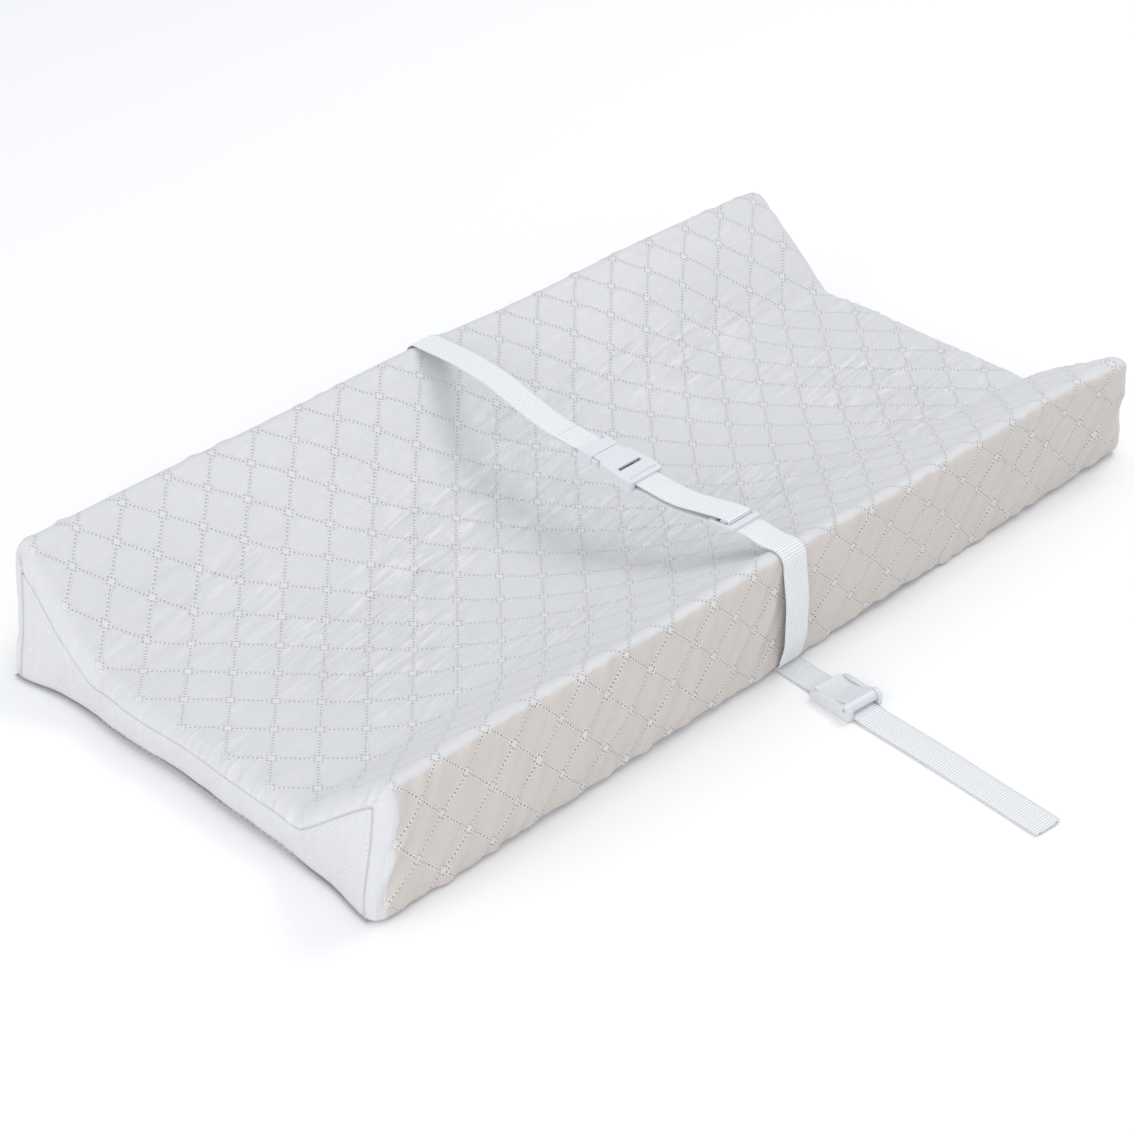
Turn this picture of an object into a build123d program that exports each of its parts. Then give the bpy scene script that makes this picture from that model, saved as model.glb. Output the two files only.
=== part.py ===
"""Contoured changing pad with a buckled safety strap and an anchor strap.

A foam core sits in a sewn quilted cover. A webbing strap crosses the pad from ridge to ridge and
closes with a side-release buckle, and a second strap leaves the pad's underside on the near side
and carries a cam buckle.

Units are millimetres. +X runs along the pad's length, -Y is the side that the anchor strap leaves,
+Z is up, and the origin is the centre of the pad's underside.
"""

import os
from math import cos, radians, sin, tan

from build123d import *

# Pad
pad_length = 813
pad_width = 406
valley_height = 40
valley_half_width = 108
slope_angle = 39.3
crest_radius = 9
valley_corner_radius = 150
bottom_corner_radius = 6
end_edge_radius = 5
cover_thickness = 3
end_seam_inset = 13

# Webbing, the same for both straps
webbing_width = 25
webbing_thickness = 1.4
webbing_gap = 0.3
strap_x = -8

# Heights of the strap layers under the pad, and the pocket that takes them
anchor_strap_z = 1
safety_strap_z = 2.7
pocket_width = 36
pocket_depth = 55
pocket_ceiling = 3.7
pocket_wall = 1.5
patch_thickness = 0.8

# Side-release buckle: its frame starts at the housing's webbing end
buckle_y = -57
buckle_z = 99
buckle_angle = 4
buckle_length = 60
housing_length = 44
housing_half_width = 18
buckle_half_thickness = 4.6
plate_thickness = 1.9
channel_half_width = 11.8
latch_pocket_half_width = 14.3
prong_clearance = 0.3

# Slide adjuster on the near half of the safety strap
near_strap_angle = -7
slider_y = -145
slider_length = 26
slider_width = 30
slider_thickness = 2.6
slider_slot_width = 6
slider_bar_width = 3

# Anchor strap and cam buckle
anchor_angle = -4.5
anchor_x = -7
anchor_sewn_length = 50
anchor_free_length = 250
cam_buckle_start = 38
cam_buckle_length = 40
cam_buckle_width = 34
cam_base_thickness = 1.7
cam_cheek_thickness = 3.8
cam_radius = 4.4
cam_pin_radius = 1.5
cam_pin_from_end = 6

# Derived sizes
half_length = pad_length / 2
half_width = pad_width / 2
slope_rise = tan(radians(slope_angle))
standoff = webbing_gap + webbing_thickness / 2
side_strap_y = half_width + standoff
crest_turn_radius = crest_radius + standoff


def profile_corners(inset):
    """Corners of the pad's cross-section, drawn in by inset on every side."""
    side = half_width - inset
    valley = valley_half_width + inset * tan(radians(slope_angle) / 2)
    crest = valley_height + (side - valley_half_width) * slope_rise
    crest -= inset / cos(radians(slope_angle))
    right = [(side, inset), (side, crest), (valley, valley_height - inset)]
    left = [(-y, z) for y, z in reversed(right)]
    return right + left


def pad_solid(inset):
    """The whole pad as one solid with rounded edges, drawn in by inset on every side."""
    with BuildPart() as body:
        with BuildSketch(Plane.YZ.offset(inset - half_length)) as outline:
            with BuildLine():
                Polyline(*profile_corners(inset), close=True)
            make_face()
            fillet(outline.vertices().group_by(Axis.Y)[-1], crest_radius - inset)
            fillet(outline.vertices().group_by(Axis.Y)[0], bottom_corner_radius - inset)
            floor = valley_height - inset
            corners = outline.vertices().filter_by_position(Axis.Y, floor - 0.1, floor + 0.1)
            fillet(corners, valley_corner_radius + inset)
        extrude(amount=pad_length - 2 * inset)
        fillet(body.faces().filter_by(Axis.X).edges(), end_edge_radius - inset)
    return body.part


pad_outer = pad_solid(0)
pad_inner = pad_solid(cover_thickness)
pad_height = pad_outer.bounding_box().max.Z
crest_centre_y = half_width - crest_radius
crest_centre_z = pad_height - crest_radius


def in_frame(origin, angle, along, out):
    """(y, z) of a point that lies along and out of a line through origin, tilted by angle."""
    turn = radians(angle)
    y = origin[0] + along * cos(turn) - out * sin(turn)
    z = origin[1] + along * sin(turn) + out * cos(turn)
    return (y, z)


def crest_corner(side, angle):
    """Corner of the tangents to the strap's turn over a crest: upright, and tilted by angle."""
    turn = radians(abs(angle))
    z = crest_centre_z + crest_turn_radius / cos(turn) + crest_turn_radius * tan(turn)
    return (side * side_strap_y, z)


def tilted_plane(origin, angle):
    """Plane of a strap fitting: x along the strap towards the far side, z out of its top."""
    turn = radians(angle)
    return Plane(
        origin=(strap_x, origin[0], origin[1]),
        x_dir=(0, cos(turn), sin(turn)),
        z_dir=(0, -sin(turn), cos(turn)),
    )


def side_plane(origin, angle, x):
    """Plane of a strap fitting's side view at x: x along the strap, y out of its top."""
    turn = radians(angle)
    return Plane(origin=(x, origin[0], origin[1]), x_dir=(0, cos(turn), sin(turn)), z_dir=(1, 0, 0))


def pocket_cut(side):
    """Space cut from the cover's underside and lower edge for the strap that wraps round it."""
    inner = side * (half_width - pocket_depth)
    wall = side * half_width
    beyond = side * (half_width + 5)
    edge_z = pocket_ceiling + bottom_corner_radius
    with BuildPart() as cut:
        with BuildSketch(Plane.YZ.offset(strap_x - pocket_width / 2)):
            with BuildLine():
                FilletPolyline(
                    (inner, -1),
                    (inner, pocket_ceiling),
                    (wall, pocket_ceiling),
                    (wall, edge_z + 0.1),
                    radius=[0.5, bottom_corner_radius],
                )
                Polyline((wall, edge_z + 0.1), (beyond, edge_z + 0.1), (beyond, -1), (inner, -1))
            make_face()
        extrude(amount=pocket_width)
    return cut.part


def box_between(low, high):
    """Algebra box between two corners, for cutting and adding inside a part."""
    size = [b - a for a, b in zip(low, high)]
    centre = [(a + b) / 2 for a, b in zip(low, high)]
    return Pos(*centre) * Box(*size, mode=Mode.PRIVATE)


# Foam core: one block, cut back over the two strap pockets.
roof_z = pocket_ceiling + pocket_wall
foam_pocket_z = roof_z + patch_thickness + 0.4
with BuildPart() as foam_core:
    add(pad_inner)
    for side in (-1, 1):
        ends = sorted([side * (half_width - pocket_depth - 4), side * (half_width + 1)])
        half_cut = pocket_width / 2 + 3
        add(
            box_between(
                (strap_x - half_cut, ends[0], 0), (strap_x + half_cut, ends[1], foam_pocket_z)
            ),
            mode=Mode.SUBTRACT,
        )
foam_core.part.label = "foam_core"


def end_prism(side):
    """Block that holds the end panel: the pad's outline inside its seam, down past the floor."""
    corners = profile_corners(end_seam_inset)
    corners = [(y, -1 if z == end_seam_inset else z) for y, z in corners]
    with BuildPart() as prism:
        with BuildSketch(Plane.YZ.offset(side * (half_length - end_edge_radius))) as outline:
            with BuildLine():
                Polyline(*corners, close=True)
            make_face()
            floor = valley_height - end_seam_inset
            bends = outline.vertices().filter_by_position(Axis.Y, floor - 0.1, floor + 0.1)
            fillet(bends, valley_corner_radius + end_seam_inset)
        extrude(amount=side * (end_edge_radius + 1))
    return prism.part


end_prisms = {side: end_prism(side) for side in (-1, 1)}
strap_cuts = {side: pocket_cut(side) for side in (-1, 1)}
bottom_block = box_between(
    (end_edge_radius - half_length, bottom_corner_radius - half_width, -1),
    (half_length - end_edge_radius, half_width - bottom_corner_radius, cover_thickness),
)

# Cover: quilted top that runs down both long sides and round the ends' edges.
with BuildPart() as cover_top:
    add(pad_outer)
    add(pad_inner, mode=Mode.SUBTRACT)
    add(end_prisms.values(), mode=Mode.SUBTRACT)
    add(bottom_block, mode=Mode.SUBTRACT)
    add(strap_cuts.values(), mode=Mode.SUBTRACT)
cover_top.part.label = "cover_top"


def end_panel(side, name):
    """Quilted end panel, sewn in below the top's rounded edge."""
    with BuildPart() as panel:
        add(pad_outer)
        add(pad_inner, mode=Mode.SUBTRACT)
        add(end_prisms[side], mode=Mode.INTERSECT)
    panel.part.label = name
    return panel.part


cover_end_left = end_panel(-1, "cover_end_left")
cover_end_right = end_panel(1, "cover_end_right")

# Bottom panel, with a shallow roofed pocket over each strap's sewn end.
with BuildPart() as cover_bottom:
    add(bottom_block)
    add(pad_outer, mode=Mode.INTERSECT)
    for side in (-1, 1):
        half_roof = pocket_width / 2 + pocket_wall
        ends = sorted([side * (half_width - pocket_depth - pocket_wall), side * 197])
        add(box_between((strap_x - half_roof, ends[0], 0), (strap_x + half_roof, ends[1], roof_z)))
    add(strap_cuts.values(), mode=Mode.SUBTRACT)
cover_bottom.part.label = "cover_bottom"


def strap_patch(side, name):
    """Reinforcing patch between the bottom panel's pocket and the foam."""
    low = side * (half_width - pocket_depth)
    high = side * (half_width - 8)
    with BuildPart() as patch:
        with BuildSketch(Plane.XY.offset(roof_z + 0.1)):
            with Locations((strap_x, (low + high) / 2)):
                RectangleRounded(pocket_width, abs(high - low), 3)
        extrude(amount=patch_thickness)
    patch.part.label = name
    return patch.part


strap_patch_near = strap_patch(-1, "strap_patch_near")
strap_patch_far = strap_patch(1, "strap_patch_far")


def webbing_strip(points, radii):
    """Webbing that follows a route in the strap's upright plane, its corners rounded."""
    with BuildPart() as strip:
        with BuildSketch(Plane.YZ.offset(strap_x - webbing_width / 2)):
            with BuildLine():
                FilletPolyline(*points, radius=radii)
            trace(line_width=webbing_thickness)
        extrude(amount=webbing_width)
    return strip.part


# Safety strap. Each half is sewn under the pad, climbs the side, turns over the crest and
# runs to its buckle half, where it folds round a bar.
buckle_origin = (buckle_y, buckle_z)
upper_out = 1.1
lower_out = -3.5
fold_radius = (upper_out - lower_out) / 2 - 0.05
under_turn_radius = 7
under_end = half_width - pocket_depth + 3
female_fold = 11.3
male_fold = buckle_length - 9.3
far_lap_end = buckle_length + 28
far_strap_angle = 1.4


def in_buckle(along, out):
    """(y, z) of a point given along the buckle from its webbing end, and out of its middle."""
    return in_frame(buckle_origin, buckle_angle, along, out)


far_points = [
    (under_end, safety_strap_z),
    (side_strap_y, safety_strap_z),
    crest_corner(1, far_strap_angle),
    in_buckle(buckle_length + 3, upper_out),
    in_buckle(male_fold, upper_out),
    in_buckle(male_fold, lower_out),
    in_buckle(buckle_length, lower_out),
    in_buckle(buckle_length + 9, upper_out - 2.1),
    in_buckle(far_lap_end, upper_out - 2.9),
]
far_radii = [under_turn_radius, crest_turn_radius, 60, fold_radius, fold_radius, 6, 6]
safety_strap_far = webbing_strip(far_points, far_radii)
safety_strap_far.label = "safety_strap_far"

near_crest = crest_corner(-1, near_strap_angle)
line_length = (slider_y + side_strap_y) / cos(radians(near_strap_angle))
slider_line = in_frame(near_crest, near_strap_angle, line_length, 0)
eye_out = 2.2
eye_along = 2.5
single_out = -slider_thickness / 2 - standoff
double_out = eye_out + webbing_thickness + 0.25
# The single layer lies on the crest's tangent, so the slider's middle stands above that line.
slider_origin = in_frame(slider_line, near_strap_angle, 0, -single_out)


def in_slider(along, out):
    """(y, z) of a point given along the slider from its middle bar, and out of its middle."""
    return in_frame(slider_origin, near_strap_angle, along, out)


low_y = -94
low_upper = (low_y, in_buckle(low_y - buckle_y, 0)[1] + 2.4)
low_lower = (low_y, low_upper[1] - 4.4)
rise_along = -5.4
near_points = [
    (-under_end, safety_strap_z),
    (-side_strap_y, safety_strap_z),
    near_crest,
    in_slider(rise_along, single_out),
    in_slider(rise_along, double_out),
    in_slider(eye_along + 3.5, double_out),
    low_upper,
    in_buckle(-2, upper_out),
    in_buckle(female_fold, upper_out),
    in_buckle(female_fold, lower_out),
    in_buckle(-2, lower_out),
    low_lower,
    in_slider(10, -eye_out),
    in_slider(-eye_along, -eye_out),
    in_slider(-eye_along, eye_out),
    in_slider(eye_along, eye_out),
    in_slider(eye_along, -0.4),
]
near_radii = [under_turn_radius, crest_turn_radius, 1.6, 1.6, 30, 90, 30, fold_radius]
near_radii += [fold_radius, 30, 90, 20, 1.3, 1.3, 1.2]
safety_strap_near = webbing_strip(near_points, near_radii)
safety_strap_near.label = "safety_strap_near"

# Side-release buckle housing: a flat moulded box with a notch at each side of its mouth, and a
# bar under its webbing end.
buckle_plane = tilted_plane(buckle_origin, buckle_angle)
buckle_axis = Axis(buckle_plane.origin, buckle_plane.z_dir)
notch_start = 35.5
cavity_start = 16.5
bar_thickness = 2.4
bar_length = 4
chamber_half_width = 12.9
chamber_roof = 2.1


def both_sides(points):
    """Closed outline from the points of its half with y above zero."""
    return points + [(along, -across) for along, across in reversed(points)]


def slab(points, low, high, corner=0):
    """Plate in the buckle's frame between two heights, from the outline's upper half."""
    with BuildPart() as plate:
        with BuildSketch(buckle_plane.offset(low)) as outline:
            with BuildLine():
                Polyline(*both_sides(points), close=True)
            make_face()
            if corner:
                fillet(outline.vertices(), corner)
        extrude(amount=high - low)
    return plate.part


def webbing_bar(along):
    """Bar that the webbing folds round, centred at the given place along the buckle."""
    end_x = strap_x - chamber_half_width - 0.5
    with BuildPart() as bar:
        with BuildSketch(side_plane(buckle_origin, buckle_angle, end_x)):
            with Locations((along, -bar_thickness / 2)):
                RectangleRounded(bar_length, bar_thickness, 1.1)
        extrude(amount=2 * chamber_half_width + 1)
    return bar.part


with BuildPart() as buckle_female:
    with BuildSketch(buckle_plane.offset(-buckle_half_thickness)) as outline:
        with BuildLine():
            edge = [(0, housing_half_width - 1), (10, housing_half_width)]
            edge += [(notch_start - 1, 15.8), (notch_start + 1, channel_half_width + 1)]
            edge += [(housing_length, channel_half_width + 1)]
            Polyline(*both_sides(edge), close=True)
        make_face()
        fillet(outline.vertices().group_by(Axis.X)[0], 3)
    extrude(amount=2 * buckle_half_thickness)
    fillet(buckle_female.faces().sort_by(buckle_axis)[-1].edges(), 1)
    end_roof = [(cavity_start - 3.5, chamber_half_width), (-1, chamber_half_width)]
    add(slab(end_roof, -buckle_half_thickness - 1, chamber_roof), mode=Mode.SUBTRACT)
    channel_height = buckle_half_thickness - plate_thickness
    channel = [(cavity_start, channel_half_width), (housing_length + 1, channel_half_width)]
    add(slab(channel, -channel_height, channel_height), mode=Mode.SUBTRACT)
    mouth = [(notch_start - 1, housing_half_width), (housing_length + 1, housing_half_width)]
    add(slab(mouth, -channel_height, channel_height), mode=Mode.SUBTRACT)
    latch = [(19.5, latch_pocket_half_width), (27, latch_pocket_half_width)]
    add(slab(latch, -channel_height, channel_height), mode=Mode.SUBTRACT)
    slot = [(cavity_start, 12), (cavity_start + 3.4, 12)]
    add(slab(slot, 0, buckle_half_thickness + 1), mode=Mode.SUBTRACT)
    groove = [(4, 13.5), (5.2, 13.5)]
    add(slab(groove, buckle_half_thickness - 0.5, buckle_half_thickness + 1), mode=Mode.SUBTRACT)
    add(webbing_bar(7))
buckle_female.part.label = "buckle_female"

# Plug half of the buckle: base, centre tongue and the bar for the far strap. Its two sprung arms
# are split off at their roots so that they can swing.
base_start = housing_length + 0.4
prong_pivot_along = base_start + 2.6
prong_pivot_across = 10.1
root_radius = 1.5
base_half_width = 14.6
with BuildPart() as buckle_male:
    base = [(base_start, base_half_width), (buckle_length, base_half_width)]
    add(slab(base, -buckle_half_thickness, buckle_half_thickness, corner=1.5))
    fillet(buckle_male.faces().sort_by(buckle_axis)[-1].edges(), 1)
    tongue = [(24, 3), (base_start + 1, 3)]
    add(slab(tongue, -2.2, 2.2))
    chamber = [(male_fold - 1.2, chamber_half_width), (buckle_length + 1, chamber_half_width)]
    add(slab(chamber, -buckle_half_thickness - 1, chamber_roof), mode=Mode.SUBTRACT)
    open_end = [(buckle_length - 4, chamber_half_width), (buckle_length + 1, chamber_half_width)]
    add(slab(open_end, 0, buckle_half_thickness + 1), mode=Mode.SUBTRACT)
    add(webbing_bar(buckle_length - 5))
    with BuildSketch(buckle_plane.offset(-channel_height)):
        for across in (-prong_pivot_across, prong_pivot_across):
            with Locations((prong_pivot_along, across)):
                Circle(root_radius + prong_clearance)
            with Locations((base_start, across)):
                Rectangle(2 * (prong_pivot_along - base_start), 2 * (root_radius + prong_clearance))
    extrude(amount=2 * channel_height, mode=Mode.SUBTRACT)
buckle_male.part.label = "buckle_male"


def prong(side, name):
    """Sprung arm: root, slim arm, finger pad in the notch, and a hooked tip behind its ledge."""
    pivot = side * prong_pivot_across
    inner = side * 8.9
    outer = side * (channel_half_width - prong_clearance)
    hook = side * (latch_pocket_half_width - prong_clearance)
    pad = side * 16.2
    height = channel_height - prong_clearance
    with BuildPart() as arm:
        with BuildSketch(buckle_plane.offset(-height)):
            with BuildLine():
                Polyline((prong_pivot_along, inner + side * 0.2), (20.6, inner), (20.6, outer))
                Polyline((20.6, outer), (26.7, hook), (26.7, outer), (notch_start + 1, outer))
                Spline(
                    (notch_start + 1, outer),
                    (notch_start + 3.6, pad - side * 0.8),
                    (base_start - 2.6, pad),
                    (base_start - 0.8, outer + side * 0.6),
                )
                Polyline(
                    (base_start - 0.8, outer + side * 0.6),
                    (base_start - 0.5, pivot + side * root_radius),
                    (prong_pivot_along, pivot + side * root_radius),
                    (prong_pivot_along, inner + side * 0.2),
                )
            make_face()
            with Locations((prong_pivot_along, pivot)):
                Circle(root_radius)
        extrude(amount=2 * height)
    arm.part.label = name
    return arm.part


# The buckle plane's y axis points to -X, so the left arm is on its positive side.
prong_left = prong(1, "prong_left")
prong_right = prong(-1, "prong_right")

# Slide adjuster: a flat frame with a middle bar and two slots.
slider_plane = tilted_plane(slider_origin, near_strap_angle)
with BuildPart() as slider:
    with BuildSketch(slider_plane.offset(-slider_thickness / 2)):
        RectangleRounded(slider_length, slider_width, 3)
        with GridLocations(slider_bar_width + slider_slot_width, 0, 2, 1):
            RectangleRounded(slider_slot_width, webbing_width + 1, 0.8, mode=Mode.SUBTRACT)
    extrude(amount=slider_thickness)
    slider_axis = Axis(slider_plane.origin, slider_plane.z_dir)
    fillet(slider.faces().sort_by(slider_axis)[-1].outer_wire().edges(), 0.8)
slider.part.label = "slider"


def stitch_rows(plane, rows, count, pitch, thread=0.35, length=1.6):
    """Rows of thread lying on webbing: each row is count stitches across the strap."""
    with BuildPart() as stitches:
        with BuildSketch(plane):
            for along in rows:
                with Locations((along, 0)):
                    with GridLocations(0, pitch, 1, count):
                        Rectangle(0.7, length)
        extrude(amount=thread)
    return stitches.part


# Stitching of the far strap's fold, seen as two rows across the webbing's top.
turn_y, turn_z = in_buckle(buckle_length + 3, upper_out)
far_line_plane = tilted_plane((turn_y, turn_z), far_strap_angle)
far_loop_stitching = stitch_rows(
    far_line_plane.offset(webbing_thickness / 2), (12, 22), count=9, pitch=2.5
)
far_loop_stitching.label = "far_loop_stitching"

# Anchor strap: webbing that lies flat, from its sewn end under the pad to its cut end, and is
# lifted a little where it crosses the cam buckle's base.
turn = radians(anchor_angle)
anchor_plane = Plane(
    origin=(anchor_x, -half_width, 0), x_dir=(sin(turn), -cos(turn), 0), z_dir=(0, 0, 1)
)
anchor_side_plane = Plane(
    origin=anchor_plane.origin, x_dir=anchor_plane.x_dir, z_dir=-anchor_plane.y_dir
)
cam_base_z = 0.15
cam_base_top = cam_base_z + cam_base_thickness
lifted_z = cam_base_top + standoff
cam_buckle_end = cam_buckle_start + cam_buckle_length
lift_run = 9
anchor_turn_radius = 14
anchor_points = [
    (-anchor_sewn_length, anchor_strap_z),
    (cam_buckle_start - lift_run, anchor_strap_z),
    (cam_buckle_start - 1, lifted_z),
    (cam_buckle_end + 1, lifted_z),
    (cam_buckle_end + lift_run, anchor_strap_z),
    (anchor_free_length, anchor_strap_z),
]
with BuildPart() as anchor_strap:
    with BuildSketch(anchor_side_plane.offset(-webbing_width / 2)):
        with BuildLine():
            FilletPolyline(*anchor_points, radius=anchor_turn_radius)
        trace(line_width=webbing_thickness)
    extrude(amount=webbing_width)
    cut_end = anchor_strap.faces().sort_by(Axis.Y)[0]
    fillet(cut_end.edges().filter_by(Axis.Z), 2.5)
anchor_strap.part.label = "anchor_strap"


def box_stitch(plane, length, name):
    """Sewn box with a cross in it, of thread that lies on the underside of the webbing."""
    with BuildPart() as stitches:
        with BuildSketch(plane):
            with BuildLine() as box:
                half_box = webbing_width / 2 - 3
                corners = [(0, half_box), (length, half_box), (length, -half_box), (0, -half_box)]
                Polyline(*corners, close=True)
            trace(box.line, line_width=0.7)
            with BuildLine() as cross:
                Line(corners[0], corners[2])
                Line(corners[1], corners[3])
            trace(cross.line, line_width=0.7)
        extrude(amount=0.25)
    stitches.part.label = name
    return stitches.part


anchor_underside = anchor_strap_z - webbing_thickness / 2
safety_underside = safety_strap_z - webbing_thickness / 2
box_length = 22
anchor_box_plane = Plane(
    origin=anchor_plane.from_local_coords((-anchor_sewn_length + 3, 0, anchor_underside - 0.25)),
    x_dir=anchor_plane.x_dir,
    z_dir=(0, 0, 1),
)
near_box_stitching = box_stitch(anchor_box_plane, box_length, "near_box_stitching")
far_box_origin = (strap_x, under_end + 3, safety_underside - 0.25)
far_box_plane = Plane(origin=far_box_origin, x_dir=(0, 1, 0), z_dir=(0, 0, 1))
far_box_stitching = box_stitch(far_box_plane, box_length, "far_box_stitching")

# Cam buckle: a moulded channel with low ears at the pad's end and a round end at the pin.
cam_pin_z = lifted_z + standoff + cam_radius
cam_pin_along = cam_buckle_end - cam_pin_from_end
cheek_inside = cam_buckle_width / 2 - cam_cheek_thickness
ear_height = 7.6


def cam_side(low, high):
    """Plane of the cam buckle's side view, and the width from low to high across the strap."""
    return anchor_side_plane.offset(low), high - low


with BuildPart() as cam_frame:
    for low, high in ((-cam_buckle_width / 2, -cheek_inside), (cheek_inside, cam_buckle_width / 2)):
        plane, width = cam_side(low, high)
        with BuildSketch(plane):
            with BuildLine():
                top = cam_pin_z + cam_radius + 0.2
                foot = Line((cam_buckle_end - 2, cam_base_z), (cam_buckle_start + 2, cam_base_z))
                toe = Line(foot @ 1, (cam_buckle_start, cam_base_z + 2))
                ear = Line(toe @ 1, (cam_buckle_start, ear_height - 1.5))
                rim = Spline(
                    ear @ 1,
                    (cam_buckle_start + 3, ear_height + 0.3),
                    (cam_buckle_start + 17, ear_height + 1.6),
                    (cam_pin_along - 1, top),
                )
                round_end = (cam_buckle_end - 1.4, cam_pin_z + 3)
                nose = ThreePointArc(rim @ 1, round_end, (cam_buckle_end, 7))
                heel = Line(nose @ 1, (cam_buckle_end, cam_base_z + 2))
                Line(heel @ 1, foot @ 0)
            make_face()
        extrude(amount=width)
    plane, width = cam_side(-cheek_inside - 1, cheek_inside + 1)
    with BuildSketch(plane):
        base_middle = (cam_buckle_start + cam_buckle_length / 2, cam_base_z + cam_base_thickness / 2)
        with Locations(base_middle):
            RectangleRounded(cam_buckle_length, cam_base_thickness, 0.6)
    extrude(amount=width)
    plane, width = cam_side(-cam_buckle_width / 2, cam_buckle_width / 2)
    with BuildSketch(plane):
        with Locations((cam_pin_along, cam_pin_z)):
            Circle(cam_pin_radius)
    extrude(amount=width, mode=Mode.SUBTRACT)
cam_frame.part.label = "cam_frame"

with BuildPart() as cam_pin:
    plane, width = cam_side(0.4 - cam_buckle_width / 2, cam_buckle_width / 2 - 0.4)
    with BuildSketch(plane):
        with Locations((cam_pin_along, cam_pin_z)):
            Circle(cam_pin_radius)
    extrude(amount=width)
cam_pin.part.label = "cam_pin"

# Cam lever: a round cam on the pin, with a dished thumb plate that reaches back to the ears.
lever_half_width = cheek_inside - 0.3
with BuildPart() as cam_lever:
    plane, width = cam_side(-lever_half_width, lever_half_width)
    with BuildSketch(plane):
        with BuildLine():
            lip = cam_buckle_start + 0.6
            top = Spline(
                (cam_pin_along + 1, cam_pin_z + cam_radius - 0.1),
                (cam_pin_along - 6, cam_pin_z + 2.6),
                (cam_pin_along - 17, cam_pin_z - 0.6),
                (lip + 5, cam_pin_z - 0.5),
                (lip, cam_pin_z + 0.3),
            )
            tip = ThreePointArc(top @ 1, (lip - 0.8, cam_pin_z - 0.8), (lip, cam_pin_z - 1.9))
            under = Line(tip @ 1, (cam_pin_along - 8, cam_pin_z - 3.2))
            Polyline(under @ 1, (cam_pin_along, cam_pin_z - 3), top @ 0)
        make_face()
        with Locations((cam_pin_along, cam_pin_z)):
            Circle(cam_radius)
            Circle(cam_pin_radius + 0.05, mode=Mode.SUBTRACT)
    extrude(amount=width)
cam_lever.part.label = "cam_lever"


parts = [
    foam_core.part,
    cover_top.part,
    cover_end_left,
    cover_end_right,
    cover_bottom.part,
    strap_patch_near,
    strap_patch_far,
    safety_strap_far,
    safety_strap_near,
    far_loop_stitching,
    near_box_stitching,
    far_box_stitching,
    buckle_female.part,
    buckle_male.part,
    prong_left,
    prong_right,
    slider.part,
    anchor_strap.part,
    cam_frame.part,
    cam_pin.part,
    cam_lever.part,
]
os.makedirs("parts", exist_ok=True)
for part in parts:
    export_step(part, f"parts/{part.label}.step")

print("pad height", round(pad_height, 2))
print("anchor strap turn radius", anchor_turn_radius)
print("buckle slides along", buckle_plane.x_dir, "and its arms turn about", buckle_plane.z_dir)
for across in (prong_pivot_across, -prong_pivot_across):
    print("arm root at", buckle_plane.from_local_coords((prong_pivot_along, across, 0)))
print("slider slides along", slider_plane.x_dir)
print("cam buckle slides along", anchor_plane.x_dir)
print("cam pin at", anchor_plane.from_local_coords((cam_pin_along, 0, cam_pin_z)))
print("cam pin axis", anchor_plane.y_dir)
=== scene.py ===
"""Looks of the changing pad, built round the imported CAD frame.

Distances are in metres unless a name ends in _mm. X runs along the pad, Y across it and Z up.
"""

from math import acos, cos, pi, radians, sin, tan

import bpy
import numpy as np
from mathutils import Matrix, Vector


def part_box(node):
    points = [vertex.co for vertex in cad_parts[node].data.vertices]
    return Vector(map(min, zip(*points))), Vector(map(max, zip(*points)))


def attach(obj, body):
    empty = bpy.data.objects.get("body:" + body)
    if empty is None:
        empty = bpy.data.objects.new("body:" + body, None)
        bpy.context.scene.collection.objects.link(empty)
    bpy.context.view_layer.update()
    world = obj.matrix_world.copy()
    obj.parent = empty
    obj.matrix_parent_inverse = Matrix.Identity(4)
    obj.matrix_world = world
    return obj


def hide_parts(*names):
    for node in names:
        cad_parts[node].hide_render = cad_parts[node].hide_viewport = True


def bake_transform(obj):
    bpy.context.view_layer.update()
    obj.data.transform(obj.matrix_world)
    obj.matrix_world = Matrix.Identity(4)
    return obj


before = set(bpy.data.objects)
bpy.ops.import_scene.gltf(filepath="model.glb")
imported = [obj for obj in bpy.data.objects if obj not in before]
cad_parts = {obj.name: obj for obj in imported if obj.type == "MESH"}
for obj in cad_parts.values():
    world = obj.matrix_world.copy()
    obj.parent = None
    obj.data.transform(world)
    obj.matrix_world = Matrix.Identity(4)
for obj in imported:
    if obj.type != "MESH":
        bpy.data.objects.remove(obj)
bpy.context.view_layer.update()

mm = 0.001

# The pad's own sizes, from the CAD frame
cover_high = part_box("cover_top")[1]
half_length = cover_high.x
half_width = cover_high.y
ridge_height = cover_high.z
valley_height = 40 * mm
valley_half_width = 108 * mm
slope_angle = radians(39.3)
crest_radius = 9 * mm
valley_radius = 18 * mm
end_roll = 13 * mm
hem_width = 9 * mm
hem_z = 1.2 * mm
hem_radius = 4 * mm
least_radius = 1.5 * mm
strap_x = -8 * mm

# The cover is stretched over the foam's corners between the ends, into one shallow bowl
bowl_curve = 1.93  # rise in metres for a metre from its middle, squared
bowl_middle = -5 * mm

# Quilting: the stitched lines' spacing along the pad and across it
cell_x = 43.4 * mm
cell_t = 47.5 * mm
dots_per_cell = 10

# Webbing
webbing_width = 25 * mm
webbing_thickness = 1.4 * mm
cut_corner = 2.5 * mm
rib_pitch = 2.22 * mm
column_pitch = 1.7 * mm


# ---------------------------------------------------------------- camera and light

def look_direction(azimuth, elevation):
    """From the object towards a camera at that azimuth and elevation, in degrees."""
    a, e = radians(azimuth), radians(elevation)
    return Vector((sin(a) * cos(e), -cos(a) * cos(e), sin(e)))


camera_azimuth = -45.6
camera_elevation = 34.0
camera_distance = 2.109

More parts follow.
